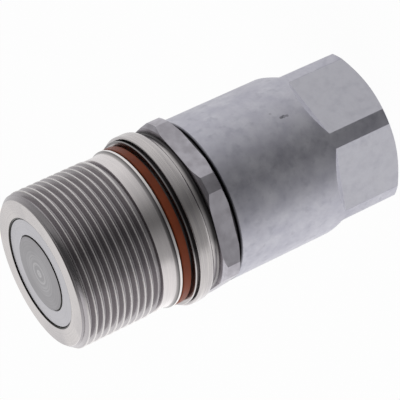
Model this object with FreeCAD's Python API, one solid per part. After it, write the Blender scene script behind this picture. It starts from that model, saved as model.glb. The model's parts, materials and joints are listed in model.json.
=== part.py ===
import FreeCAD, Part
import math
import os

# Screw-on flat face coupling half, standing on its port end.
# Origin at the centre of the port end face, +Z along the axis towards the flat face.
# All lengths are in millimetres, and heights are measured from the port end.

V = FreeCAD.Vector
AXIS = V(0, 0, 1)
CENTRE = V(0, 0, 0)

# Overall sizes
length = 96.0
body_r = 22.0

# Port body
port_end_r = 19.5
end_chamfer_angle = math.radians(30)
hex_across_flats = 40.0
hex_corner_angle = -90.0
flat_top_z = 18.2
run_out_angle = math.radians(40)
port_wall_r = 12.06
port_mouth_r = 13.7
port_depth = 20.0
passage_r = 10.5
passage_top_z = 23.0
chamber_r = 15.5
chamber_z = 27.5
seat_z = 30.0
joint_bore_r = 17.6
joint_bore_top_z = 36.8
joint_thread_r = 19.0
joint_thread_top_z = 46.0
seal_bore_r = 20.0
port_body_top_z = 50.6
edge_break = 0.4

# Coupling body, rear end inside the port body
nose_z = 35.0
nose_r = 17.45
nose_top_z = 37.2
undercut_r = 18.1
undercut_z = 45.2
land_r = 19.95
land_z = 46.4
body_groove_z = 47.0
body_groove_top_z = 50.0
body_groove_r = 18.2

# Spanner flange of the coupling body
flange_z = 51.3
flange_top_z = 57.0
flange_r = 24.2
flange_across_flats = 44.0
flange_corner_angle = -82.0
flange_rear_rim_r = 21.9
flange_front_rim_r = 23.0

# Neck, collar and indicator groove
neck_r = 21.3
neck_fillet = 0.7
collar_r = 22.9
collar_z = 59.4
collar_top_z = 63.4
collar_round = 0.9
collar_edge = 0.5
band_round = 0.8
round_steps = 3
slot_r = 21.6
slot_top_z = 64.0
lip_r = 22.4
lip_top_z = 64.6
indicator_groove_r = 19.9
indicator_z = 65.4
indicator_top_z = 67.9
indicator_r = 21.5
front_lip_z = 68.0
front_lip_r = 21.5
front_lip_top_z = 68.9
band_r = 20.4
band_z = 70.1

# Connection thread, modelled at its crest
thread_r = 21.0
thread_z = 73.6
thread_run_out = 0.6
face_r = 19.5

# Bore of the coupling body and its seal groove
main_bore_r = 16.2
stop_z = 86.0
face_bore_r = 14.66
face_bore_break = 0.3
sleeve_groove_z = 89.0
sleeve_groove_top_z = 93.4
sleeve_groove_r = 16.9

# Sliding valve sleeve
sleeve_r = 14.60
sleeve_top_z = 95.7
sleeve_flange_r = 16.10
sleeve_flange_z = 79.0
sleeve_skirt_r = 13.0
sleeve_skirt_z = 62.0
sleeve_bore_r = 12.0
sleeve_lip_r = 10.12
sleeve_lip_z = 89.0
sleeve_cone_z = 85.5
guide_groove_z = 81.0
guide_groove_top_z = 84.0
guide_groove_r = 15.0
guide_ring_r = 16.15

# Fixed stem with its flat head
stem_top_z = 95.9
stem_head_r = 10.05
stem_head_z = 87.5
stem_neck_r = 5.0
stem_neck_top_z = 79.0
stem_collar_r = 7.0
stem_collar_top_z = 38.0
stem_neck_z = 40.0
spigot_r = 4.0
spigot_end_z = 20.5
head_groove_z = 90.4
head_groove_top_z = 93.2
head_groove_r = 8.3
sleeve_break = 0.2

# Perforated support disc, nut and washer
support_top_z = 35.0
support_r = 17.55
support_hole_r = 4.05
slot_count = 4
slot_inner_r = 7.7
slot_outer_r = 12.9
slot_sweep = 50.0
washer_z = 28.8
washer_r = 8.0
nut_z = 22.3
nut_across_flats = 13.0

# Spring and its seat
seat_ring_top_z = 36.4
seat_ring_inner_r = 13.1
seat_ring_outer_r = 16.1
wire_r = 1.2
wire_sides = 8
closed_coil_gap = 0.05
coil_r = 14.5
active_turns = 5
closed_turns = 1
steps_per_turn = 20

# Seals
seal_side_gap = 0.1
sleeve_seal_top_z = 91.7
head_seal_top_z = 92.2
body_seal_top_z = 48.9
seal_running_gap = 0.03
seal_corner = 0.5


def revolve(points):
    """Turn a closed outline of (radius, height) points about the axis."""
    wire = Part.makePolygon([V(r, 0, z) for r, z in points] + [V(points[0][0], 0, points[0][1])])
    return Part.Face(wire).revolve(CENTRE, AXIS, 360)


def ring(inner_r, outer_r, low_z, high_z):
    """Plain ring between two radii and two heights."""
    outline = [(inner_r, low_z), (outer_r, low_z), (outer_r, high_z), (inner_r, high_z)]
    return revolve(outline)


def spun(solid, angle):
    """Copy of a solid turned about the axis by an angle in degrees."""
    turned = solid.copy()
    turned.rotate(CENTRE, AXIS, angle)
    return turned


def six_flats(across_flats, corner_angle, low_z, high_z, ramp_angle, outer_r):
    """Six cutters that mill flats between two heights, with an optional sloping run-out."""
    apothem = across_flats / 2
    reach = outer_r + 1
    rise = (reach - apothem) / math.tan(ramp_angle)
    outline = [(apothem, low_z), (reach, low_z), (reach, high_z + rise), (apothem, high_z)]
    width = 2 * outer_r
    wire = Part.makePolygon([V(r, -width / 2, z) for r, z in outline + outline[:1]])
    cutter = Part.Face(wire).extrude(V(0, width, 0))
    return [spun(cutter, corner_angle + 30 + 60 * step) for step in range(6)]


def hex_prism(across_flats, low_z, high_z):
    """Six-sided bar about the axis."""
    corner = across_flats / 2 / math.cos(math.radians(30))
    points = []
    for step in range(7):
        angle = math.radians(60 * step)
        points.append(V(corner * math.cos(angle), corner * math.sin(angle), low_z))
    return Part.Face(Part.makePolygon(points)).extrude(V(0, 0, high_z - low_z))


def with_rounds(points, rounds):
    """Replace the corners listed in rounds as {(radius, height): size} by short arcs."""
    drawn = []
    for before, corner, after in zip(points[-1:] + points[:-1], points, points[1:] + points[:1]):
        size = rounds.get(corner, 0)
        if not size:
            drawn.append(corner)
            continue
        start = towards(corner, before, size)
        end = towards(corner, after, size)
        for step in range(round_steps + 1):
            share = step / round_steps
            weights = ((1 - share) ** 2, 2 * share * (1 - share), share ** 2)
            places = zip(weights, (start, corner, end))
            drawn.append(tuple(map(sum, zip(*[(w * r, w * z) for w, (r, z) in places]))))
    return drawn


def towards(corner, other, distance):
    """Point at a distance from a corner on the line to another point."""
    share = distance / math.dist(corner, other)
    return tuple(c + (o - c) * share for c, o in zip(corner, other))


def port_body():
    """Rear body: port bore at the bottom, hexagon flats, joint bore at the top."""
    end_chamfer = (body_r - port_end_r) * math.tan(end_chamfer_angle)
    outside = [
        (port_end_r, 0),
        (body_r, end_chamfer),
        (body_r, port_body_top_z - edge_break),
        (body_r - edge_break, port_body_top_z),
    ]
    inside = [
        (seal_bore_r + edge_break, port_body_top_z),
        (seal_bore_r, port_body_top_z - edge_break),
        (seal_bore_r, joint_thread_top_z),
        (joint_thread_r, joint_thread_top_z),
        (joint_thread_r, joint_bore_top_z),
        (joint_bore_r, joint_bore_top_z),
        (joint_bore_r, seat_z),
        (chamber_r, seat_z),
        (chamber_r, chamber_z),
        (passage_r, passage_top_z),
        (passage_r, port_depth),
        (port_wall_r, port_depth),
        (port_wall_r, port_mouth_r - port_wall_r),
        (port_mouth_r, 0),
    ]
    body = revolve(outside + inside)
    flats = six_flats(hex_across_flats, hex_corner_angle, -1, flat_top_z, run_out_angle, body_r)
    return body.cut(flats)


def coupling_body_outline():
    """Outer profile of the coupling body from its rear nose to the flat face."""
    rear_chamfer = (flange_r - flange_rear_rim_r) * math.tan(end_chamfer_angle)
    front_chamfer = (flange_r - flange_front_rim_r) * math.tan(end_chamfer_angle)
    face_chamfer = thread_r - face_r
    return [
        (main_bore_r, nose_z),
        (nose_r, nose_z),
        (nose_r, nose_top_z),
        (joint_thread_r, nose_top_z + joint_thread_r - nose_r),
        (joint_thread_r, undercut_z),
        (undercut_r, undercut_z),
        (undercut_r, land_z),
        (land_r, land_z),
        (land_r, body_groove_z),
        (body_groove_r, body_groove_z),
        (body_groove_r, body_groove_top_z),
        (land_r, body_groove_top_z),
        (land_r, flange_z),
        (flange_rear_rim_r, flange_z),
        (flange_r, flange_z + rear_chamfer),
        (flange_r, flange_top_z - front_chamfer),
        (flange_front_rim_r, flange_top_z),
        (neck_r, flange_top_z),
        (neck_r, collar_z),
        (collar_r, collar_z),
        (collar_r, collar_top_z),
        (slot_r, collar_top_z),
        (slot_r, slot_top_z),
        (lip_r, slot_top_z),
        (lip_r, lip_top_z),
        (indicator_groove_r, lip_top_z),
        (indicator_groove_r, front_lip_z),
        (front_lip_r, front_lip_z),
        (front_lip_r, front_lip_top_z),
        (band_r, band_z),
        (band_r, thread_z),
        (thread_r, thread_z + thread_run_out),
        (thread_r, length - face_chamfer),
        (face_r, length),
    ]


def coupling_body():
    """Front body: joint thread, spanner flange, collar, indicator groove and connection thread."""
    bore = [
        (face_bore_r + face_bore_break, length),
        (face_bore_r, length - face_bore_break),
        (face_bore_r, sleeve_groove_top_z),
        (sleeve_groove_r, sleeve_groove_top_z),
        (sleeve_groove_r, sleeve_groove_z),
        (face_bore_r, sleeve_groove_z),
        (face_bore_r, stop_z),
        (main_bore_r, stop_z),
    ]
    rounds = {
        (neck_r, flange_top_z): neck_fillet,
        (collar_r, collar_z): collar_round,
        (collar_r, collar_top_z): collar_edge,
        (band_r, band_z): band_round,
    }
    body = revolve(with_rounds(coupling_body_outline(), rounds) + bore)
    cutter_top_z = flange_top_z + neck_fillet / 2
    flats = six_flats(flange_across_flats, flange_corner_angle, land_z, cutter_top_z, math.pi / 2, flange_r)
    return body.cut(flats)


def indicator_ring():
    """Coloured ring in the groove between the front lip and the collar."""
    return ring(indicator_groove_r, indicator_r, indicator_z, indicator_top_z)


def valve_sleeve():
    """Sliding sleeve: flat front end, lip round the stem head, stop flange and spring skirt."""
    outline = [
        (sleeve_bore_r, sleeve_skirt_z),
        (sleeve_skirt_r, sleeve_skirt_z),
        (sleeve_skirt_r, sleeve_flange_z),
        (sleeve_flange_r, sleeve_flange_z),
        (sleeve_flange_r, guide_groove_z),
        (guide_groove_r, guide_groove_z),
        (guide_groove_r, guide_groove_top_z),
        (sleeve_flange_r, guide_groove_top_z),
        (sleeve_flange_r, stop_z),
        (sleeve_r, stop_z),
        (sleeve_r, sleeve_top_z - sleeve_break),
        (sleeve_r - sleeve_break, sleeve_top_z),
        (sleeve_lip_r + sleeve_break, sleeve_top_z),
        (sleeve_lip_r, sleeve_top_z - sleeve_break),
        (sleeve_lip_r, sleeve_lip_z),
        (sleeve_bore_r, sleeve_cone_z),
    ]
    return revolve(outline)


def valve_stem():
    """Fixed stem: flat head with its seal groove, streamlined neck, collar and spigot."""
    outline = [
        (0, spigot_end_z),
        (spigot_r - edge_break, spigot_end_z),
        (spigot_r, spigot_end_z + edge_break),
        (spigot_r, support_top_z),
        (stem_collar_r, support_top_z),
        (stem_collar_r, stem_collar_top_z),
        (stem_neck_r, stem_neck_z),
        (stem_neck_r, stem_neck_top_z),
        (stem_head_r, stem_head_z),
        (stem_head_r, head_groove_z),
        (head_groove_r, head_groove_z),
        (head_groove_r, head_groove_top_z),
        (stem_head_r, head_groove_top_z),
        (stem_head_r, stem_top_z - sleeve_break),
        (stem_head_r - sleeve_break, stem_top_z),
        (0, stem_top_z),
    ]
    return revolve(outline)


def flow_slot():
    """Kidney-shaped cutter with round ends for one opening of the support disc."""
    half_width = (slot_outer_r - slot_inner_r) / 2
    pitch_r = (slot_outer_r + slot_inner_r) / 2
    height = support_top_z - seat_z
    profile = Part.Face(Part.makePolygon([
        V(slot_inner_r, 0, seat_z),
        V(slot_outer_r, 0, seat_z),
        V(slot_outer_r, 0, support_top_z),
        V(slot_inner_r, 0, support_top_z),
        V(slot_inner_r, 0, seat_z),
    ]))
    middle = profile.revolve(CENTRE, AXIS, slot_sweep)
    ends = []
    for angle in (0, slot_sweep):
        peg = Part.makeCylinder(half_width, height, V(pitch_r, 0, seat_z), AXIS)
        ends.append(spun(peg, angle))
    return middle.fuse(ends)


def stem_support():
    """Perforated disc that holds the stem and lets the oil through."""
    disc = ring(support_hole_r, support_r, seat_z, support_top_z)
    slot = flow_slot()
    slots = [spun(slot, 360 / slot_count * step) for step in range(slot_count)]
    return disc.cut(slots)


def spring_seat():
    """Flat ring under the spring."""
    return ring(seat_ring_inner_r, seat_ring_outer_r, support_top_z, seat_ring_top_z)


def lock_washer():
    """Washer between the support disc and the nut."""
    return ring(support_hole_r, washer_r, washer_z, seat_z)


def stem_nut():
    """Hexagon nut on the stem's spigot, with both ends chamfered."""
    corner = nut_across_flats / 2 / math.cos(math.radians(30))
    chamfer = (corner - nut_across_flats / 2) * math.tan(end_chamfer_angle)
    turned = revolve([
        (spigot_r, nut_z),
        (nut_across_flats / 2, nut_z),
        (corner, nut_z + chamfer),
        (corner, washer_z - chamfer),
        (nut_across_flats / 2, washer_z),
        (spigot_r, washer_z),
    ])
    return turned.common(hex_prism(nut_across_flats, nut_z, washer_z))


def coil_height(turn):
    """Height of the wire's centre above the coil's start after a number of turns."""
    closed_pitch = 2 * wire_r + closed_coil_gap
    ends = closed_turns * closed_pitch
    active = sleeve_flange_z - seat_ring_top_z - 2 * ends
    if turn < closed_turns:
        return turn * closed_pitch
    if turn < closed_turns + active_turns:
        return ends + active * (turn - closed_turns) / active_turns
    return ends + active + (turn - closed_turns - active_turns) * closed_pitch


def sleeve_spring():
    """Compression spring with closed ends ground flat, its coil drawn in short chords."""
    path = []
    for step in range((2 * closed_turns + active_turns) * steps_per_turn + 1):
        turn = step / steps_per_turn
        angle = math.tau * turn
        place = V(coil_r * math.cos(angle), coil_r * math.sin(angle), seat_ring_top_z + coil_height(turn))
        path.append(place)
    section = []
    for side in range(wire_sides + 1):
        angle = math.tau * side / wire_sides
        section.append(V(coil_r + wire_r * math.cos(angle), 0, seat_ring_top_z + wire_r * math.sin(angle)))
    mitred = 1
    wire = Part.makePolygon(path).makePipeShell([Part.makePolygon(section)], True, False, mitred)
    clearance = 2 * wire_r
    return wire.common(ring(coil_r - clearance, coil_r + clearance, seat_ring_top_z, sleeve_flange_z))


def seal(inner_r, outer_r, low_z, high_z):
    """Elastomer ring as squeezed in its groove, with its corners drawn in."""
    return revolve([
        (inner_r, low_z + seal_corner),
        (inner_r + seal_corner, low_z),
        (outer_r - seal_corner, low_z),
        (outer_r, low_z + seal_corner),
        (outer_r, high_z - seal_corner),
        (outer_r - seal_corner, high_z),
        (inner_r + seal_corner, high_z),
        (inner_r, high_z - seal_corner),
    ])


def build():
    """Every piece of the coupling half by its node name."""
    sleeve_seal_r = sleeve_r + seal_running_gap
    head_seal_r = sleeve_lip_r - seal_running_gap
    sleeve_seal_z = sleeve_groove_z + seal_side_gap
    sleeve_backup_top_z = sleeve_groove_top_z - seal_side_gap
    head_seal_z = head_groove_z + seal_side_gap
    head_backup_top_z = head_groove_top_z - seal_side_gap
    body_seal_z = body_groove_z + seal_side_gap
    body_backup_top_z = body_groove_top_z - seal_side_gap
    return {
        "port_body": port_body(),
        "coupling_body": coupling_body(),
        "indicator_ring": indicator_ring(),
        "valve_sleeve": valve_sleeve(),
        "guide_ring": ring(guide_groove_r, guide_ring_r, guide_groove_z, guide_groove_top_z),
        "valve_stem": valve_stem(),
        "stem_support": stem_support(),
        "stem_nut": stem_nut(),
        "lock_washer": lock_washer(),
        "spring_seat": spring_seat(),
        "sleeve_spring": sleeve_spring(),
        "sleeve_seal": seal(sleeve_seal_r, sleeve_groove_r, sleeve_seal_z, sleeve_seal_top_z),
        "sleeve_backup_ring": ring(sleeve_seal_r, sleeve_groove_r, sleeve_seal_top_z, sleeve_backup_top_z),
        "head_seal": seal(head_groove_r, head_seal_r, head_seal_z, head_seal_top_z),
        "head_backup_ring": ring(head_groove_r, head_seal_r, head_seal_top_z, head_backup_top_z),
        "body_seal": seal(body_groove_r, seal_bore_r, body_seal_z, body_seal_top_z),
        "body_backup_ring": ring(body_groove_r, land_r, body_seal_top_z, body_backup_top_z),
    }


os.makedirs("parts", exist_ok=True)
for node, shape in build().items():
    solid = shape.Solids[0]
    solid.exportStep(f"parts/{node}.step")
    box = solid.BoundBox
    print(node, solid.ShapeType, solid.isValid(), f"{solid.Volume:.1f} mm3, z {box.ZMin:.2f} to {box.ZMax:.2f}")
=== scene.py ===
# %% [markdown]
# # A screw-on flat face coupling half
#
# This half of a hydraulic coupling stands on its port end. Its front body carries a fine
# connection thread, a coloured indicator ring and a thin spanner flange, and its rear body
# is a plain round with six milled flats. The measured model gives every place and size, so
# the first step loads it and keeps its box.

# %% Load the measured model
import json
import math
import bpy
from mathutils import Matrix, Vector


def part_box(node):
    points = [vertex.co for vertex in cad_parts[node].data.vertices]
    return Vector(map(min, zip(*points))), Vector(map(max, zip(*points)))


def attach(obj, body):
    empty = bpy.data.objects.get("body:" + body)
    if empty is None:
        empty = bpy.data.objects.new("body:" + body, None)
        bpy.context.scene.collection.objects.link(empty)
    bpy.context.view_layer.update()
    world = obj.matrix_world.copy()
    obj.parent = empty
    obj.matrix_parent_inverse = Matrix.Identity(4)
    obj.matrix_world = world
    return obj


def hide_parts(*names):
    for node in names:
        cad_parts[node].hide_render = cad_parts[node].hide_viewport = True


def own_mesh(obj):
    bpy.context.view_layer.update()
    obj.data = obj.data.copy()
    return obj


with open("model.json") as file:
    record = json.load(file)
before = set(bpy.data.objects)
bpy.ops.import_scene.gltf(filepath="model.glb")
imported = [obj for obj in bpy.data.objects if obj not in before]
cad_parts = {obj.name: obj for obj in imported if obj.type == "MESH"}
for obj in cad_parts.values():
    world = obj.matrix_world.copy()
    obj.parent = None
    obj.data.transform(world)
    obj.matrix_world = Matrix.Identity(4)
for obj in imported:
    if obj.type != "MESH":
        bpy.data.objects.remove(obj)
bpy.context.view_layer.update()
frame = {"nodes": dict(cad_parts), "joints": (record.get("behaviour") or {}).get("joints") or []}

# %% [markdown]
# ## Drawing a profile and turning it
#
# The visible bodies came off a lathe, so they are made like lathe work. A plane is merged to
# one point, and the point is extruded from corner to corner, which draws the profile as a
# thin wire beside the axis. Spinning the wire makes the solid. The alternative, stacking
# cylinders, would leave hidden walls inside and no way to round an edge.

# %% Draw a profile
MM = 0.001
SAME_CORNER = 0.01 * MM


def draw_profile(name, corners):
    """Draw a closed wire through (radius, height) corners given in millimetres."""
    bpy.ops.object.select_all(action="DESELECT")
    bpy.ops.mesh.primitive_plane_add(size=MM)
    piece = bpy.context.object
    piece.name = name
    bpy.ops.object.mode_set(mode="EDIT")
    bpy.ops.mesh.select_all(action="SELECT")
    bpy.ops.mesh.merge(type="CENTER")
    start_r, start_z = corners[0]
    bpy.ops.transform.translate(value=(start_r * MM, 0, start_z * MM))
    for (from_r, from_z), (to_r, to_z) in zip(corners, corners[1:] + corners[:1]):
        step = ((to_r - from_r) * MM, 0, (to_z - from_z) * MM)
        bpy.ops.mesh.extrude_vertices_move(TRANSFORM_OT_translate={"value": step})
    bpy.ops.mesh.select_all(action="SELECT")
    bpy.ops.mesh.remove_doubles(threshold=SAME_CORNER)
    return piece


# %% Round the corners of a profile
def with_rounds(corners, rounds, steps=8):
    """Replace the corners named in rounds by arcs of the given size."""
    befores = corners[-1:] + corners[:-1]
    afters = corners[1:] + corners[:1]
    drawn = []
    for before, corner, after in zip(befores, corners, afters):
        if corner not in rounds:
            drawn.append(corner)
            continue
        middle = Vector(corner)
        start = middle + (Vector(before) - middle).normalized() * rounds[corner]
        end = middle + (Vector(after) - middle).normalized() * rounds[corner]
        for step in range(steps + 1):
            part = step / steps
            spot = start.lerp(middle, part).lerp(middle.lerp(end, part), part)
            drawn.append((spot.x, spot.y))
    return drawn


# %% Spin a profile
FULL_TURN = 2 * math.pi
ROUND_STEPS = 192
SAME_POINT = 0.005 * MM


def spin_profile(piece):
    """Turn the drawn profile about the vertical axis into a closed solid."""
    bpy.ops.mesh.select_all(action="SELECT")
    bpy.ops.mesh.spin(steps=ROUND_STEPS, angle=FULL_TURN, center=(0, 0, 0), axis=(0, 0, 1))
    bpy.ops.mesh.select_all(action="SELECT")
    bpy.ops.mesh.remove_doubles(threshold=SAME_POINT)
    bpy.ops.mesh.normals_make_consistent(inside=False)
    bpy.ops.object.mode_set(mode="OBJECT")
    print(piece.name, "turned,", len(piece.data.polygons), "faces")


# %% [markdown]
# ## Milling flats
#
# The flats are cut from the turned blank, as in the workshop. The cutter is a profile given a
# width, and a Boolean modifier takes it away six times round. The flats could be pressed
# into the mesh by moving its points, but a cut leaves the true curved edge where a flat
# meets the round.

# %% Take a cutter out of a piece
def make_active(piece):
    """Select this piece alone, so that operators act on nothing else."""
    bpy.ops.object.select_all(action="DESELECT")
    piece.select_set(True)
    bpy.context.view_layer.objects.active = piece


def cut_away(piece, cutter):
    """Take the cutter out of the piece and delete the cutter."""
    cut = piece.modifiers.new("cut", "BOOLEAN")
    cut.operation = "DIFFERENCE"
    cut.solver = "EXACT"
    cut.object = cutter
    make_active(piece)
    bpy.ops.object.modifier_apply(modifier=cut.name)
    bpy.data.objects.remove(cutter, do_unlink=True)


# %% Mill six flats
def fill_and_widen(width):
    """Give the profile in edit mode a width across the axis, with closed sides."""
    bpy.ops.mesh.edge_face_add()
    bpy.ops.mesh.select_all(action="SELECT")
    bpy.ops.transform.translate(value=(0, -width / 2 * MM, 0))
    bpy.ops.mesh.extrude_region_move(TRANSFORM_OT_translate={"value": (0, width * MM, 0)})
    bpy.ops.mesh.select_all(action="SELECT")
    bpy.ops.mesh.normals_make_consistent(inside=False)


def mill_six_flats(piece, profile, width, first_angle):
    """Cut the same flat six times round the axis, the first one facing first_angle degrees."""
    for step in range(6):
        cutter = draw_profile("flat_cutter", profile)
        fill_and_widen(width)
        turned = math.radians(first_angle + 60 * step)
        bpy.ops.transform.rotate(value=-turned, orient_axis="Z", center_override=(0, 0, 0))
        bpy.ops.object.mode_set(mode="OBJECT")
        cut_away(piece, cutter)
    print(piece.name, "flats milled,", len(piece.data.polygons), "faces")


# %% [markdown]
# ## Cutting threads
#
# A thread's cutter is the groove's own section, wound up by a Screw modifier. Winding a ridge
# and laying it on the shaft would be quicker, but the thread would then not run out into the
# chamfer and the plain band as a cut one does.

# %% Wind a section and cut it
THREAD_STEPS = 96


def wind_up(piece, pitch, turns, steps):
    """Carry the active piece's outline up a helix of the given pitch."""
    winding = piece.modifiers.new("winding", "SCREW")
    winding.axis = "Z"
    winding.angle = FULL_TURN
    winding.screw_offset = pitch * MM
    winding.iterations = turns
    winding.steps = steps
    winding.render_steps = steps
    bpy.ops.object.modifier_apply(modifier=winding.name)


def cut_thread(piece, section, pitch, turns, first_z):
    """Wind the groove's section into a helix and cut it from the piece."""
    cutter = draw_profile("thread_cutter", [(r, z + first_z) for r, z in section])
    bpy.ops.object.mode_set(mode="OBJECT")
    wind_up(cutter, pitch, turns, THREAD_STEPS)
    bpy.ops.object.mode_set(mode="EDIT")
    bpy.ops.mesh.select_all(action="SELECT")
    bpy.ops.mesh.fill_holes(sides=0)
    bpy.ops.mesh.select_all(action="SELECT")
    bpy.ops.mesh.normals_make_consistent(inside=False)
    bpy.ops.object.mode_set(mode="OBJECT")
    cut_away(piece, cutter)
    print(piece.name, "thread cut,", len(piece.data.polygons), "faces")


# %% [markdown]
# ## Breaking the edges and shading
#
# A machined edge is never quite sharp, and the fine bright line on it is what makes metal
# look machined. A small bevel on the sharp edges gives that line. Smooth shading by angle
# then keeps the flats and faces flat, which plain smooth shading would blur.

# %% Deburr, shade and tie a piece to its body
BEVEL_FROM = math.radians(20)
SHARP_FROM = math.radians(16)


def soften_edges(piece, width):
    """Break the sharp edges with a small bevel, as deburring does."""
    bevel = piece.modifiers.new("broken_edges", "BEVEL")
    bevel.width = width * MM
    bevel.segments = 2
    bevel.limit_method = "ANGLE"
    bevel.angle_limit = BEVEL_FROM
    bevel.harden_normals = False
    make_active(piece)
    bpy.ops.object.modifier_apply(modifier=bevel.name)


def finish_piece(piece, body, *nodes):
    """Shade the piece, let it ride on its body and stand for its measured nodes."""
    make_active(piece)
    bpy.ops.object.shade_smooth_by_angle(angle=SHARP_FROM)
    even = piece.modifiers.new("flat_faces_stay_flat", "WEIGHTED_NORMAL")
    even.keep_sharp = True
    even.weight = 100
    bpy.ops.object.modifier_apply(modifier=even.name)
    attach(piece, body)
    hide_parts(*nodes)
    print(piece.name, "done,", len(piece.data.polygons), "faces")


# %% [markdown]
# ## The rear body
#
# The rear body is a 44 mm round bar with a chamfered end. Six flats, 40 mm across, are milled
# up from the end for a spanner, and each runs out in a slope where the cutter left the metal.
# Inside is the port with its pipe thread, then the passage and the chamber for the valve.
# One profile holds the outside and all the bores, because bores cut one by one would take
# a Boolean each.

# %% Outside of the rear body
body_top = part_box("port_body")[1][2] / MM
body_r = 22.0
port_end_r = 19.5
end_slope = math.tan(math.radians(30))
end_chamfer = (body_r - port_end_r) * end_slope
above_flats = 21.0
edge_break = 0.4
print("rear body up to", round(body_top, 2), "mm, end chamfer", round(end_chamfer, 2))

# %% Bores of the rear body
port_mouth_r, port_minor_r, port_depth = 13.7, 12.06, 20.0
passage_r, passage_top = 10.5, 23.0
chamber_r, chamber_low, chamber_top = 15.5, 27.5, 30.0
support_r, support_top = 17.6, 36.8
joint_r, joint_top = 19.0, 46.0
seal_bore_r = 20.0
print("port", port_depth, "mm deep, bores up to", 2 * seal_bore_r, "mm wide")

# %% Turn the rear body
rear_profile = [
    (port_end_r, 0), (body_r, end_chamfer), (body_r, above_flats),
    (body_r, body_top - edge_break), (body_r - edge_break, body_top),
    (seal_bore_r + edge_break, body_top), (seal_bore_r, body_top - edge_break),
    (seal_bore_r, joint_top), (joint_r, joint_top), (joint_r, support_top),
    (support_r, support_top), (support_r, chamber_top), (chamber_r, chamber_top),
    (chamber_r, chamber_low), (passage_r, passage_top), (passage_r, port_depth),
    (port_minor_r, port_depth), (port_minor_r, port_mouth_r - port_minor_r), (port_mouth_r, 0),
]
rear_body = draw_profile("rear_body", rear_profile)
spin_profile(rear_body)

# %% Mill the six flats with their sloping run-out
flat_apothem, flat_top, flat_width = 20.0, 18.2, 40.0
run_out = math.tan(math.radians(40))
clearance = 1.0
reach = body_r + clearance
flat_profile = [
    (flat_apothem, -clearance), (reach, -clearance),
    (reach, flat_top + (reach - flat_apothem) / run_out), (flat_apothem, flat_top),
]
mill_six_flats(rear_body, flat_profile, flat_width, first_angle=0)
soften_edges(rear_body, width=0.12)

# %% Cut the port thread
pipe_pitch = 1.814
pipe_slope = math.tan(math.radians(27.5))
port_major_r = 13.22
pipe_root = 0.16 * pipe_pitch
inner_r = port_minor_r - 0.06
pipe_mouth = pipe_root + 2 * (port_major_r - inner_r) * pipe_slope
port_section = [
    (inner_r, -pipe_mouth / 2), (port_major_r, -pipe_root / 2),
    (port_major_r, pipe_root / 2), (inner_r, pipe_mouth / 2),
]
cut_thread(rear_body, port_section, pipe_pitch, turns=10, first_z=-1.2)
finish_piece(rear_body, "housing", "port_body")

# %% [markdown]
# ## The front body
#
# The front body is one turned piece. From the face down it has the connection thread, a plain
# band, a lip, the groove for the indicator ring, two narrow lips, the collar, a short neck and
# the thin flange with its six flats. The corners of the collar and the neck are rounded on the
# profile, before the spin, because a rounding of a point is simpler than one of a ring edge.

# %% Rear end, inside the rear body
nose_inner_r, nose_r, nose_low, nose_top = 16.2, 17.45, 35.0, 37.2
joint_low = 38.75
undercut_r, undercut_low = 18.1, 45.2
land_r, land_low = 19.95, 46.4
body_groove_r, body_groove_low, body_groove_high = 18.2, 47.0, 50.0
print("screwed into the rear body from", nose_low, "mm")

# %% Flange, neck and collar
flange_r, flange_low, flange_high = 24.2, 51.3, 57.0
rear_rim_r, front_rim_r = 21.9, 23.0
neck_r = 21.3
collar_r, collar_low, collar_high = 23.15, 59.1, 63.5
print("flange", round(flange_high - flange_low, 2), "mm thick, collar", 2 * collar_r, "mm wide")

# %% Slot, lips and plain band
slot_r = 21.6
lip_r, lip_low, lip_high = 22.4, 64.1, 64.6
ring_seat_r = 19.9
front_lip_r, front_lip_low, front_lip_high = 21.5, 67.9, 68.5
band_r, band_low, band_high = 20.8, 69.6, 73.05
print("ring groove", round(front_lip_low - lip_high, 2), "mm wide")

# %% Thread, face and bore
face_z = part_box("coupling_body")[1][2] / MM
face_r = 19.5
run_out_r, run_out_low, run_out_high = 19.85, band_high + 0.25, 74.0
thread_crest_r, thread_root_r, thread_low = 21.0, 19.773, 74.55
thread_pitch = 2.0
bore_r, bore_break, stop_z = 14.66, 0.3, 86.0
seal_groove_r, seal_groove_low, seal_groove_high = 16.9, 89.0, 93.4
print("flat face at", round(face_z, 2), "mm, thread", 2 * thread_crest_r, "mm wide")

# %% Turn the front body
front_profile = [
    (nose_inner_r, nose_low), (nose_r, nose_low), (nose_r, nose_top), (joint_r, joint_low),
    (joint_r, undercut_low), (undercut_r, undercut_low), (undercut_r, land_low),
    (land_r, land_low), (land_r, body_groove_low), (body_groove_r, body_groove_low),
    (body_groove_r, body_groove_high), (land_r, body_groove_high), (land_r, flange_low),
    (rear_rim_r, flange_low), (flange_r, flange_low + (flange_r - rear_rim_r) * end_slope),
    (flange_r, flange_high - (flange_r - front_rim_r) * end_slope),
    (front_rim_r, flange_high), (neck_r, flange_high), (neck_r, collar_low),
    (collar_r, collar_low), (collar_r, collar_high), (slot_r, collar_high),
    (slot_r, lip_low), (lip_r, lip_low), (lip_r, lip_high), (ring_seat_r, lip_high),
    (ring_seat_r, front_lip_low), (front_lip_r, front_lip_low), (front_lip_r, front_lip_high),
    (band_r, band_low), (band_r, band_high), (run_out_r, run_out_low),
    (run_out_r, run_out_high), (thread_crest_r, thread_low),
    (thread_crest_r, face_z - (thread_crest_r - face_r)), (face_r, face_z),
    (bore_r + bore_break, face_z), (bore_r, face_z - bore_break), (bore_r, seal_groove_high),
    (seal_groove_r, seal_groove_high), (seal_groove_r, seal_groove_low),
    (bore_r, seal_groove_low), (bore_r, stop_z), (nose_inner_r, stop_z),
]
front_rounds = {
    (collar_r, collar_low): 1.55, (collar_r, collar_high): 0.5, (neck_r, flange_high): 0.7,
    (lip_r, lip_low): 0.15, (lip_r, lip_high): 0.15,
    (front_lip_r, front_lip_low): 0.15, (front_lip_r, front_lip_high): 0.15,
    (band_r, band_low): 0.6,
}
front_body = draw_profile("front_body", with_rounds(front_profile, front_rounds))
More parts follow.
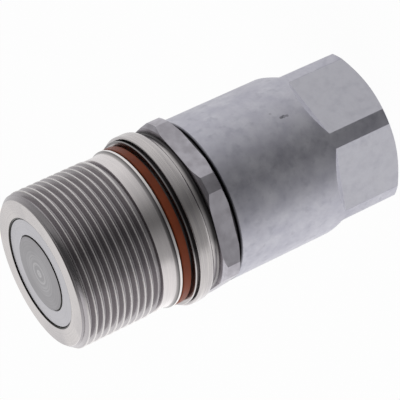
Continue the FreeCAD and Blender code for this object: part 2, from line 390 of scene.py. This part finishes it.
spin_profile(front_body)

# %% Mill the flange
flange_apothem, flange_width = 22.0, 40.0
cut_low, cut_high = 50.5, flange_high + 0.35
flange_profile = [
    (flange_apothem, cut_low), (flange_r + clearance, cut_low),
    (flange_r + clearance, cut_high), (flange_apothem, cut_high),
]
mill_six_flats(front_body, flange_profile, flange_width, first_angle=8)
soften_edges(front_body, width=0.1)

# %% Cut the connection thread
metric_slope = math.tan(math.radians(30))
root_width = thread_pitch / 6
outer_r = thread_crest_r + 0.05
mouth_width = root_width + 2 * (outer_r - thread_root_r) * metric_slope
thread_section = [
    (thread_root_r, -root_width / 2), (outer_r, -mouth_width / 2),
    (outer_r, mouth_width / 2), (thread_root_r, root_width / 2),
]
cut_thread(front_body, thread_section, thread_pitch, turns=12, first_z=74.15)
finish_piece(front_body, "housing", "coupling_body")

# %% [markdown]
# ## The indicator ring
#
# A plain coloured ring sits in the groove behind the thread. It is covered when the other half
# is screwed right home. Its edges are slightly rounded, as on a moulded ring. A torus would be
# quicker, but the real section is a rectangle, so the ring is turned like the bodies.

# %% Indicator ring
ring_outer, ring_low, ring_high = 21.5, 65.25, 67.5
ring_round = 0.35
ring_profile = [
    (ring_seat_r, ring_low), (ring_outer, ring_low),
    (ring_outer, ring_high), (ring_seat_r, ring_high),
]
ring_rounds = {(ring_outer, ring_low): ring_round, (ring_outer, ring_high): ring_round}
indicator = draw_profile("indicator", with_rounds(ring_profile, ring_rounds))
spin_profile(indicator)
finish_piece(indicator, "housing", "indicator_ring")

# %% [markdown]
# ## The valve spring
#
# Inside, a round-wire spring pushes the valve sleeve shut. Its end turns lie close together
# and are ground flat. It is wound like the threads, as a circle carried up by a Screw
# modifier, once for each pitch, and the three windings are joined. One twisted curve could
# do the same, but its end turns would not come out parallel.

# %% Spring sizes
wire_r, coil_r, wire_sides, turn_steps = 1.2, 14.5, 12, 48
spring_low, spring_high = (corner[2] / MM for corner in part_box("sleeve_spring"))
shut_length = spring_high - spring_low
end_pitch = 2 * wire_r + 0.05
active_turns = 5
active_pitch = (shut_length - 2 * end_pitch) / active_turns
slide = next(joint for joint in frame["joints"] if joint["name"] == "sleeve_slide")
sleeve_travel = slide["range_m"][1] / MM
print("spring", round(shut_length, 2), "mm long, sleeve travel", round(sleeve_travel, 2))


# %% Wind the spring
def wind_wire(height, pitch, turns):
    """Wind one stretch of the spring, starting at the given height."""
    bpy.ops.object.select_all(action="DESELECT")
    bpy.ops.mesh.primitive_circle_add(
        vertices=wire_sides, radius=wire_r * MM, location=(coil_r * MM, 0, height * MM),
        rotation=(math.radians(90), 0, 0))
    bpy.ops.object.transform_apply(location=True, rotation=True, scale=True)
    stretch = bpy.context.object
    wind_up(stretch, pitch, turns, turn_steps)
    return stretch


low_end = wind_wire(spring_low, end_pitch, 1)
high_end = wind_wire(spring_high - end_pitch, end_pitch, 1)
valve_spring = wind_wire(spring_low + end_pitch, active_pitch, active_turns)
valve_spring.name = "valve_spring"
low_end.select_set(True)
high_end.select_set(True)
bpy.ops.object.join()
print(valve_spring.name, "wound,", len(valve_spring.data.polygons), "faces")

# %% Grind the spring's ends flat
bpy.ops.object.mode_set(mode="EDIT")
bpy.ops.mesh.select_all(action="SELECT")
bpy.ops.mesh.remove_doubles(threshold=SAME_POINT)
bpy.ops.mesh.fill_holes(sides=0)
for end_z, side in ((spring_low, "clear_inner"), (spring_high, "clear_outer")):
    bpy.ops.mesh.select_all(action="SELECT")
    bpy.ops.mesh.bisect(
        plane_co=(0, 0, end_z * MM), plane_no=(0, 0, 1), use_fill=True, **{side: True})
bpy.ops.mesh.select_all(action="SELECT")
bpy.ops.mesh.normals_make_consistent(inside=False)
bpy.ops.object.mode_set(mode="OBJECT")
bpy.ops.object.shade_smooth_by_angle(angle=math.radians(40))
print(valve_spring.name, "ground,", len(valve_spring.data.polygons), "faces")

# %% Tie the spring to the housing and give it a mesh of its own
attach(valve_spring, "housing")
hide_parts("sleeve_spring")
(shut_length - sleeve_travel) / shut_length
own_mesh(valve_spring)
print(valve_spring.name, "shortens to", round(shut_length - sleeve_travel, 2), "mm")

# %% [markdown]
# ## Writing shader maths as sums
#
# Every finish below is made from nodes. Written out one by one they are hard to read, so a
# small class wraps a socket and lets it be added, multiplied and compared as in a formula.
# One method of the recipe adds any other kind of node.

# %% A socket that can be used in a formula
class Wire:
    """An output socket that can be used in a formula."""

    def __init__(self, recipe, socket):
        self.recipe = recipe
        self.socket = socket

    def maths(self, operation, *values):
        return self.recipe.node("ShaderNodeMath", {"operation": operation}, dict(enumerate(values)))

    def __add__(self, other):
        return self.maths("ADD", self, other)

    def __radd__(self, other):
        return self.maths("ADD", other, self)

    def __sub__(self, other):
        return self.maths("SUBTRACT", self, other)

    def __rsub__(self, other):
        return self.maths("SUBTRACT", other, self)

    def __mul__(self, other):
        return self.maths("MULTIPLY", self, other)

    def __rmul__(self, other):
        return self.maths("MULTIPLY", other, self)

    def __truediv__(self, other):
        return self.maths("DIVIDE", self, other)

    def above(self, limit):
        return self.maths("GREATER_THAN", self, limit)

    def below(self, limit):
        return self.maths("LESS_THAN", self, limit)


# %% A recipe of nodes
class Recipe:
    """The nodes of a material or a world, added one by one."""

    def __init__(self, owner):
        self.owner = owner
        owner.use_nodes = True
        self.tree = owner.node_tree
        self.tree.nodes.clear()

    def node(self, kind, settings, inputs, output=0):
        """Add a node: settings first, then the values or links of its sockets."""
        made = self.tree.nodes.new(kind)
        stops = settings.pop("stops", None)
        for key, value in settings.items():
            setattr(made, key, value)
        if stops:
            ramp = made.color_ramp.elements
            while len(ramp) < len(stops):
                ramp.new(1.0)
            for element, (position, colour) in zip(ramp, stops):
                element.position = position
                element.color = colour
        for key, value in inputs.items():
            if isinstance(value, Wire):
                self.tree.links.new(value.socket, made.inputs[key])
            else:
                made.inputs[key].default_value = value
        return made if output is None else Wire(self, made.outputs[output])

    def axes(self, vector):
        """Split a vector into its three numbers."""
        split = self.node("ShaderNodeSeparateXYZ", {}, {"Vector": vector}, None)
        return [Wire(self, split.outputs[axis]) for axis in "XYZ"]

    def span(self, wire, low, high, to_low=0.0, to_high=1.0):
        """Map a range of a wire onto another range, clamped."""
        ranges = {"From Min": low, "From Max": high, "To Min": to_low, "To Max": to_high}
        return self.node("ShaderNodeMapRange", {"clamp": True}, {"Value": wire, **ranges})

    def blend(self, factor, first, second):
        """Mix two colours."""
        settings = {"data_type": "RGBA", "blend_type": "MIX"}
        return self.node("ShaderNodeMix", settings, {0: factor, 6: first, 7: second}, 2)

    def layers(self, colour, coats):
        """Lay coats of (mask, colour) over a colour, one after another."""
        for mask, coat in coats:
            colour = self.blend(mask, colour, coat)
        return colour


# %% A recipe for a finish
class Finish(Recipe):
    """A material whose patterns lie on the object's own coordinates."""

    def __init__(self, name):
        super().__init__(bpy.data.materials.new(name))
        self.place = self.node("ShaderNodeTexCoord", {}, {}, "Object")

    def noise(self, scale, detail=3.0, stretch=(1, 1, 1)):
        """Noise on the object's own coordinates, squeezed along the axes by stretch."""
        scaled = self.node(
            "ShaderNodeVectorMath", {"operation": "MULTIPLY"}, {0: self.place, 1: stretch})
        values = {"Vector": scaled, "Scale": scale, "Detail": detail}
        return self.node("ShaderNodeTexNoise", {"noise_dimensions": "3D"}, values)

    def away_from(self, centre):
        """Distance from a point given in millimetres."""
        point = tuple(value * MM for value in centre)
        settings = {"operation": "DISTANCE"}
        return self.node("ShaderNodeVectorMath", settings, {0: self.place, 1: point}, 1)

    def bump(self, height, strength, distance):
        """Turn a height into a normal, the distance given in millimetres."""
        values = {"Height": height, "Strength": strength, "Distance": distance * MM}
        return self.node("ShaderNodeBump", {}, values, "Normal")

    def finish(self, **sockets):
        """Wire the last shader, with plain numbers straight on its sockets."""
        named = {
            key.replace("_", " ").title().replace("Ior", "IOR"): value
            for key, value in sockets.items()
        }
        shader = self.node("ShaderNodeBsdfPrincipled", {}, named)
        self.node("ShaderNodeOutputMaterial", {}, {"Surface": shader}, None)
        return self.owner


# %% A finish that follows the lathe
class TurnedFinish(Finish):
    """A finish that changes with height and with distance from the axis."""

    def __init__(self, name):
        super().__init__(name)
        self.x, self.y, self.z = self.axes(self.place)
        square = self.x * self.x + self.y * self.y
        self.r = square.maths("SQRT", square)

    def line_noise(self, along, scale, detail=2.0):
        """Noise that changes only along one wire, for turning marks."""
        values = {"W": along, "Scale": scale, "Detail": detail}
        return self.node("ShaderNodeTexNoise", {"noise_dimensions": "1D"}, values)

    def fade(self, wire, low, high, to_low=0.0, to_high=1.0):
        """A span whose range is given in millimetres."""
        return self.span(wire, low * MM, high * MM, to_low, to_high)

    def zone(self, low=None, high=None, inner=None, outer=None):
        """1 between two heights and two radii in millimetres, 0 elsewhere."""
        tests = [
            (self.z.above, low), (self.z.below, high), (self.r.above, inner), (self.r.below, outer),
        ]
        return math.prod(test(limit * MM) for test, limit in tests if limit is not None)

    def spot(self, centre, size):
        """1 inside a small soft-edged spot on the surface, 0 outside."""
        return self.fade(self.away_from(centre), size * 0.5, size, 1.0, 0.0)


# %% Put a finish on a piece
def dress(piece, material):
    """Put a material on a piece."""
    piece.data.materials.clear()
    piece.data.materials.append(material)
    print(piece.name, "wears", material.name, "with", len(material.node_tree.nodes), "nodes")


# %% [markdown]
# ## Finish of the rear body
#
# The rear body is plated steel with a dull, slightly mottled lilac-grey skin. It is a metal
# with a fairly high roughness, so it shows broad soft reflections and no sharp ones. A large
# faint noise varies its colour, a fine one its roughness and bump, and the milled flats are a
# little smoother. A few small dark pits sit above one flat, where the photograph shows them.
# They could be cut in the mesh, but at their size a dark spot with a dip in the bump is enough.

# %% Mottled skin
dull = TurnedFinish("dull_plated_steel")
clouds = dull.noise(scale=230, detail=6)
streaks = dull.noise(scale=70, detail=5, stretch=(1, 1, 3))
grain = dull.noise(scale=1100, detail=3)
flecks = dull.noise(scale=420, detail=5)
skin = dull.blend(
    dull.span(clouds, 0.32, 0.68), (0.535, 0.53, 0.603, 1), (0.69, 0.685, 0.745, 1))
print(len(dull.tree.nodes), "nodes for the mottled skin")

# %% Pits above one flat
pit_spots = [
    ((10.67, -19.24, 27.5), 0.6, 1.0), ((10.67, -19.24, 26.7), 0.7, 1.0),
    ((10.5, -19.33, 25.8), 0.6, 1.0), ((12.62, -18.02, 29.3), 0.6, 0.6),
]
pits = sum(dull.spot(centre, size) * depth for centre, size, depth in pit_spots)
pits = dull.span(pits * flecks, 0.15, 0.6)
print(len(pit_spots), "spots make the pits")

# %% Dull plated steel
on_flat = dull.zone(high=20.6, inner=19.5, outer=21.96)
# Painted shade darkens the top edge of the rear body, under the flange.
joint_painted_shade = dull.fade(dull.z, 50.1, 50.6)
skin = dull.layers(skin, [
    (dull.span(streaks, 0.45, 0.7, 0, 0.22), (0.49, 0.475, 0.55, 1)),
    (dull.span(flecks, 0.54, 0.72, 0, 0.4), (0.39, 0.39, 0.455, 1)),
    (on_flat * dull.span(flecks, 0.3, 0.6, 0.35, 0.75), (0.78, 0.775, 0.84, 1)),
    (pits * 0.8, (0.12, 0.12, 0.135, 1)),
    (joint_painted_shade * 0.9, (0.04, 0.04, 0.045, 1)),
])
dull_rough = dull.span(grain, 0.3, 0.7, 0.40, 0.50) + dull.span(clouds, 0.3, 0.7, -0.04, 0.04)
dull_steel = dull.finish(
    base_color=skin, metallic=1.0, roughness=dull_rough - on_flat * 0.06,
    normal=dull.bump(grain * 0.4 + flecks * 0.6 - pits * 2, strength=0.35, distance=0.08),
)
dress(rear_body, dull_steel)

# %% [markdown]
# ## Finish of the front body
#
# The front body is bare steel, turned bright, with fine rings from the tool. Noise that runs
# only along the height or the radius gives those rings. Painted shade darkens the corners, the
# narrow gaps and the thread, more on one side, and painted highlights lighten a lip edge and the
# thread crests. This shade could be painted by hand on an unwrapped skin, but its places are
# plain heights and radii, so masks worked out from them are exact and need no unwrapping.

# %% Turned tone
bright = TurnedFinish("bright_turned_steel")
marks = bright.line_noise(bright.z, scale=2600, detail=3) * 0.6
marks = marks + bright.line_noise(bright.r, scale=2600, detail=3) * 0.4
soft = bright.noise(scale=120, detail=3)
stain = bright.noise(scale=330, detail=5)
brushed = bright.noise(scale=75, detail=5, stretch=(1, 1, 24))
tone = bright.blend(
    bright.span(soft, 0.3, 0.7), (0.66, 0.625, 0.62, 1), (0.73, 0.69, 0.68, 1))
tone = bright.layers(tone, [
    (bright.span(marks, 0.35, 0.65, 0.0, 0.38), (0.44, 0.42, 0.42, 1)),
    (bright.span(brushed, 0.42, 0.66, 0.0, 0.45), (0.40, 0.38, 0.41, 1)),
])
print(len(bright.tree.nodes), "nodes for the turned tone")

# %% Stained flange and lighter band
on_flange = bright.zone(high=flange_high + 0.1, inner=20.5)
on_band = bright.zone(band_low - 0.2, band_high + 0.05)
flange_tone = bright.blend(
    bright.span(stain, 0.35, 0.65), (0.46, 0.44, 0.48, 1), (0.60, 0.58, 0.63, 1))
tone = bright.layers(tone, [(on_flange, flange_tone), (on_band * 0.55, (0.93, 0.88, 0.88, 1))])
print("flange stained below", flange_high, "mm")

# %% Painted shade in the neck and between the lips
# Painted shade: the neck, the gap behind the collar and one lip are darkened, more on one side.
shaded_side = bright.fade(bright.x, -14.5, -9.5)
neck_painted_shade = bright.zone(low=flange_high - 0.1, inner=20.5)
neck_painted_shade = neck_painted_shade * bright.fade(bright.z, 57.6, 58.4, 0.93, 0.0) * (shaded_side * 0.5 + 0.5)
neck_painted_shade = neck_painted_shade * bright.fade(bright.r, 21.8, 22.6, 1.0, 0.0)
lip_gap_painted_shade = bright.zone(collar_high - 0.1, lip_low + 0.2, outer=lip_r)
lip_gap_painted_shade = lip_gap_painted_shade * (shaded_side * 0.35 + 0.5)
lip_painted_shade = bright.zone(lip_low - 0.1, lip_high + 0.05, inner=21.8, outer=22.7) * shaded_side
print("painted shade from", flange_high, "to", lip_high, "mm")

# %% Painted shade and highlight round the indicator ring
# Painted shade in the groove between the rear lip and the ring and at the foot of the front lip,
# and a painted highlight on the front lip's edge.
ring_groove_painted_shade = bright.zone(lip_high - 0.05, ring_low + 0.05, outer=22.25)
ring_groove_painted_shade = ring_groove_painted_shade * bright.fade(bright.z, 64.55, 65.05, 0.15, 0.85)
ring_groove_painted_shade = ring_groove_painted_shade * bright.fade(bright.x, -20.5, -14.5, 0.1, 1.0)
lip_edge_painted_highlight = bright.zone(front_lip_low - 0.1, front_lip_high + 0.05, inner=21.3)
lip_foot_painted_shade = bright.zone(low=front_lip_high + 0.03, outer=21.45)
lip_foot_painted_shade = lip_foot_painted_shade * bright.fade(bright.z, 68.7, 69.5, 0.85, 0.0)
print("painted shade from", lip_high, "to", band_low, "mm")

# %% Painted shade in the thread and gaps, painted highlight on the crests
gap_low = 94.0
crest_from_r = 20.85
# Painted shade in the thread and in the gaps at the flange and the bore, and a painted highlight on
# the thread crests, which are also rougher.
thread_painted_shade = bright.zone(low=band_high + 0.1, inner=19.6, outer=crest_from_r)
crest_wear_and_highlight = bright.zone(74.2, 94.5, inner=crest_from_r)
flange_gap_painted_shade = bright.zone(high=51.75, inner=joint_r)
gap_edge_painted_shade = bright.zone(low=gap_low, outer=15.02)
print("thread crests from radius", crest_from_r, "mm")

# %% Bright turned steel
# Colours of the painted shade and the painted highlights on the front body.
painted_gap_shade = (0.035, 0.033, 0.03, 1)
tone = bright.layers(tone, [
    (neck_painted_shade, (0.035, 0.033, 0.035, 1)),
    (lip_foot_painted_shade, (0.07, 0.068, 0.07, 1)),
    (lip_edge_painted_highlight * 0.8, (0.98, 0.94, 0.93, 1)),
    (ring_groove_painted_shade, (0.02, 0.018, 0.018, 1)),
    (lip_gap_painted_shade, (0.04, 0.036, 0.04, 1)),
    (lip_painted_shade * 0.7, (0.12, 0.115, 0.12, 1)),
    (flange_gap_painted_shade * 0.92, (0.02, 0.02, 0.022, 1)),
    (thread_painted_shade * 0.68, (0.34, 0.32, 0.34, 1)),
    (crest_wear_and_highlight * 0.6, (0.96, 0.93, 0.92, 1)),
    (gap_edge_painted_shade, painted_gap_shade),
])
bright_rough = bright.span(marks, 0.3, 0.7, 0.19, 0.29) + on_flange * 0.15 + crest_wear_and_highlight * 0.2
bright_steel = bright.finish(
    base_color=tone, metallic=1.0, roughness=bright_rough,
    normal=bright.bump(marks + on_flange * stain, strength=0.18, distance=0.05),
)
dress(front_body, bright_steel)

# %% [markdown]
# ## Finish of the indicator ring
#
# The ring is red-brown plastic with a low gloss. A single colour would look like paint, so a
# cloudy noise moves both its colour and its roughness a little, and a fine one gives the
# surface of the mould.

# %% Indicator red
red = Finish("indicator_red")
cloud = red.noise(scale=200, detail=3)
tint = red.blend(red.span(cloud, 0.3, 0.7), (0.22, 0.039, 0.008, 1), (0.285, 0.055, 0.014, 1))
indicator_red = red.finish(
    base_color=tint, roughness=red.span(cloud, 0.3, 0.7, 0.38, 0.5), specular_ior_level=0.3,
    normal=red.bump(red.noise(scale=1500, detail=2), strength=0.1, distance=0.03),
)
dress(indicator, indicator_red)

# %% [markdown]
# ## Finishes of the measured nodes
#
# The sleeve and the stem head show in the flat face, with rings from the lathe round a centre
# that is slightly off the middle, and with painted shade where they meet the fine gaps. On the
# stem head the rings near the centre are lightened by a painted sheen. The other pieces are hidden
# until the sleeve slides in. All of them keep their measured meshes, whose shapes are right, and
# get a finish of their own, because rebuilding them would add nothing.

# %% Steel of the flat face
TURNING_CENTRE = (0, 0.5, 96)


def turned_steel(name, low, high, roughness, mark_scale, mark_depth, gap, core_shine=0.0):
    """Steel with turning marks, painted shade where its edge meets a gap of the face, and painted
    sheen on the rings near the centre, as strong as core_shine.
    """
    steel = TurnedFinish(name)
    off_centre = steel.away_from(TURNING_CENTRE)
    rings = steel.line_noise(off_centre, mark_scale, detail=2) * 0.6
    rings = rings + steel.line_noise(steel.z, mark_scale * 2, detail=3) * 0.4
    patch = steel.noise(scale=150, detail=3)
    centre_sheen = steel.fade(off_centre, 1.2, 6.8, core_shine, 0.0)
    wavy = off_centre + patch * 0.0006
    core_rings = steel.span(steel.line_noise(wavy, scale=1500, detail=2), 0.46, 0.58)
    face_tone = steel.blend(steel.span(rings * 0.8 + patch * 0.2, 0.38, 0.62), low, high)
    # Painted sheen lightens the rings near the centre, and painted shade darkens the edge at the
    # gap.
    face_tone = steel.layers(face_tone, [
        (centre_sheen * core_rings, (0.66, 0.65, 0.66, 1)),
        (steel.zone(low=gap_low, inner=gap[0], outer=gap[1]), painted_gap_shade),
    ])
    return steel.finish(
        base_color=face_tone, metallic=1.0,
        roughness=steel.span(rings, 0.3, 0.7, roughness - 0.05, roughness + 0.05),
        normal=steel.bump(rings, mark_depth, distance=0.05),
    )


sleeve_steel = turned_steel(
    "sleeve_steel", (0.53, 0.52, 0.55, 1), (0.62, 0.61, 0.64, 1), roughness=0.30,
    mark_scale=1800, mark_depth=0.12, gap=(14.56, 14.7))
stem_steel = turned_steel(
    "stem_steel", (0.295, 0.285, 0.30, 1), (0.425, 0.415, 0.43, 1), roughness=0.34,
    mark_scale=1300, mark_depth=0.2, gap=(9.87, 10.15), core_shine=0.7)
print("face finishes", sleeve_steel.name, "and", stem_steel.name)


# %% Plated parts and spring wire
def plain_steel(name, low, high, roughness):
    """Small plated part with a cloudy tone and a fine grain."""
    steel = Finish(name)
    patch = steel.noise(scale=260, detail=4)
    return steel.finish(
        base_color=steel.blend(steel.span(patch, 0.3, 0.7), low, high), metallic=1.0,
        roughness=steel.span(patch, 0.3, 0.7, roughness - 0.05, roughness + 0.05),
        normal=steel.bump(steel.noise(scale=1200, detail=2), strength=0.12, distance=0.04),
    )


plated = plain_steel("plated_steel", (0.50, 0.50, 0.51, 1), (0.58, 0.58, 0.59, 1), 0.33)
wire_steel = plain_steel("wire_steel", (0.30, 0.30, 0.31, 1), (0.38, 0.38, 0.39, 1), 0.36)
dress(valve_spring, wire_steel)


# %% Seals, backup rings and guide ring
def soft_material(name, low, high, roughness):
    """Rubber or plastic with a faint mottle."""
    moulded = Finish(name)
    patch = moulded.noise(scale=300, detail=3)
    return moulded.finish(
        base_color=moulded.blend(moulded.span(patch, 0.3, 0.7), low, high),
        roughness=moulded.span(patch, 0.3, 0.7, roughness - 0.06, roughness + 0.06),
        normal=moulded.bump(moulded.noise(scale=2000, detail=2), strength=0.1, distance=0.03),
    )


rubber = soft_material("seal_rubber", (0.018, 0.018, 0.018, 1), (0.030, 0.030, 0.030, 1), 0.55)
white_plastic = soft_material(
    "backup_plastic", (0.74, 0.74, 0.70, 1), (0.80, 0.80, 0.76, 1), 0.40)
grey_plastic = soft_material(
    "guide_plastic", (0.16, 0.18, 0.16, 1), (0.22, 0.24, 0.22, 1), 0.45)
print("moulded finishes", rubber.name, white_plastic.name, grey_plastic.name)

# %% Give each measured node its finish
node_finish = {
    "valve_sleeve": sleeve_steel, "valve_stem": stem_steel, "stem_support": plated,
    "stem_nut": plated, "lock_washer": plated, "spring_seat": plated,
    "sleeve_seal": rubber, "head_seal": rubber, "body_seal": rubber,
    "sleeve_backup_ring": white_plastic, "head_backup_ring": white_plastic,
    "body_backup_ring": white_plastic, "guide_ring": grey_plastic,
}
for node_name, material in node_finish.items():
    node = frame["nodes"][node_name]
    node.data.materials.clear()
    node.data.materials.append(material)
print(len(node_finish), "measured nodes finished")

# %% [markdown]
# ## The floor
#
# The part stands on a white floor, which keeps a light shadow of it. A bright lamp could
# whiten the floor, but it would bleach the part too, so the floor glows in camera rays only.
# It is left out of mirror-like rays and is clear from below, so the metal shows the world
# also where it looks down, as if the part hung in a light tent.

# %% Floor
bpy.ops.object.select_all(action="DESELECT")
bpy.ops.mesh.primitive_plane_add(size=6, location=(0, 0, -0.1 * MM))
floor = bpy.context.object
floor.name = "floor"
glow_share = 0.97
white = Recipe(bpy.data.materials.new("white_floor"))
seen = white.node("ShaderNodeLightPath", {}, {}, "Is Camera Ray")
matte = white.node("ShaderNodeBsdfDiffuse", {}, {"Color": (0.8, 0.8, 0.8, 1)})
glow = white.node("ShaderNodeEmission", {}, {"Color": (1, 1, 1, 1), "Strength": 1.0})
surface = white.node("ShaderNodeMixShader", {}, {0: seen * glow_share, 1: matte, 2: glow})
clear = white.node("ShaderNodeBsdfTransparent", {}, {})
from_below = white.node("ShaderNodeNewGeometry", {}, {}, "Backfacing")
surface = white.node("ShaderNodeMixShader", {}, {0: from_below, 1: surface, 2: clear})
white.node("ShaderNodeOutputMaterial", {}, {"Surface": surface}, None)
floor.data.materials.append(white.owner)
floor.visible_glossy = False
print("floor", round(floor.dimensions.x, 2), "m wide")

# %% [markdown]
# ## The world
#
# Bright metal shows what is round it, and without something dark it looks like paper, so
# photographers put a dark card beside the camera. Here the world does that: it is dark towards
# the camera and overhead, and bright at both sides. Cards and lamps round the part would do
# the same, but two rings of brightness, one low and one high, are easier to tune.

# %% Brightness all round, in degrees from the camera
CAMERA_AZIMUTH = math.radians(-87.5)
LOW_LIGHT = [
    (-180, 0.98), (-163, 0.92), (-130, 0.86), (-96, 0.86), (-70, 0.70), (-44, 0.52),
    (-14, 0.19), (4, 0.13), (30, 0.33), (57, 0.42), (66, 0.85), (90, 0.95), (130, 1.05),
    (160, 1.35), (180, 0.98),
]
HIGH_LIGHT = [
    (-180, 0.62), (-139, 0.20), (-79, 0.45), (-48, 0.50), (-18, 0.18), (8, 0.07), (46, 0.07),
    (72, 0.24), (98, 0.85), (139, 1.25), (180, 0.62),
]
print("light tent with", len(LOW_LIGHT), "low and", len(HIGH_LIGHT), "high stops")


# %% Tools for the tent
class Tent(Recipe):
    """The world, built with the same tools as a material."""

    def __init__(self, name):
        super().__init__(bpy.data.worlds.new(name))
        self.place = self.node("ShaderNodeTexCoord", {}, {}, "Generated")

    def light_round(self, share, stops):
        """Brightness all round the horizon, from a list of (degrees, brightness)."""
        colours = [(degrees / 360 + 0.5, (level, level, level, 1)) for degrees, level in stops]
        return self.node("ShaderNodeValToRGB", {"stops": colours}, {"Fac": share})

    def rise(self, height, low, high):
        """0 below one elevation in degrees and 1 above another."""
        return self.span(height, math.sin(math.radians(low)), math.sin(math.radians(high)))


# %% World that is dark towards the camera
tent = Tent("light_tent")
facing = tent.node(
    "ShaderNodeVectorRotate", {"rotation_type": "Z_AXIS"},
    {"Vector": tent.place, "Angle": -CAMERA_AZIMUTH})
ahead, aside, height = tent.axes(facing)
turn = ahead.maths("ARCTAN2", aside * -1, ahead)
share = turn / FULL_TURN + 0.5
light = tent.blend(
    tent.rise(height, 14, 52), tent.light_round(share, LOW_LIGHT),
    tent.light_round(share, HIGH_LIGHT))
light = tent.blend(tent.rise(height, 60, 72), light, (0.08, 0.08, 0.08, 1))
sky_strength = 0.92
sky = tent.node("ShaderNodeBackground", {}, {"Color": light, "Strength": sky_strength})
tent.node("ShaderNodeOutputWorld", {}, {"Surface": sky}, None)
bpy.context.scene.world = tent.owner
print(tent.owner.name, "made of", len(tent.tree.nodes), "nodes")

# %% [markdown]
# ## The lamp
#
# The tent alone lights the part from all sides and leaves it without a shadow. One weak, large
# lamp at the side gives the soft shadow on the floor. A point lamp would throw a hard one. The
# lamp is left out of mirror-like rays, so no bright square shows in the metal.

# %% Lamp
lamp_place = (-0.7, 0.1, 0.6)
bpy.ops.object.light_add(type="AREA", location=lamp_place)
lamp = bpy.context.object
lamp.name = "side_lamp"
lamp.data.size = 0.5
lamp.data.energy = 2.0
lamp_aim = Vector((0, 0, 0.05)) - Vector(lamp_place)
lamp.rotation_euler = lamp_aim.to_track_quat("-Z", "Y").to_euler()
lamp.visible_glossy = False
print(lamp.name, "at", lamp_place)

# %% [markdown]
# ## Camera
#
# The photograph was taken with a long lens, looking down on the standing part at nearly 24
# degrees, and the camera is rolled so that the face points to the lower left. The part could
# be laid down instead, but it stands as the measured model does, so the camera turns.

# %% Camera
aim_point = Vector((-0.00024, 0, 0.0485))
distance = 0.5709
elevation = math.radians(23.609)
roll = math.radians(115.014)
sensor_width, focal_length, nearest = 36, 201.55, 0.01
offset = Vector((
    math.cos(elevation) * math.cos(CAMERA_AZIMUTH),
    math.cos(elevation) * math.sin(CAMERA_AZIMUTH),
    math.sin(elevation),
))
bpy.ops.object.camera_add(location=aim_point + distance * offset)
camera = bpy.context.object
look = (-offset).to_track_quat("-Z", "Y").to_matrix().to_4x4()
camera.rotation_euler = (look @ Matrix.Rotation(-roll, 4, "Z")).to_euler()
camera.data.sensor_width = sensor_width
camera.data.lens = focal_length
camera.data.clip_start = nearest
bpy.context.scene.camera = camera
bpy.context.scene.view_settings.view_transform = "Standard"
print("camera", distance, "m away, lens", focal_length, "mm")
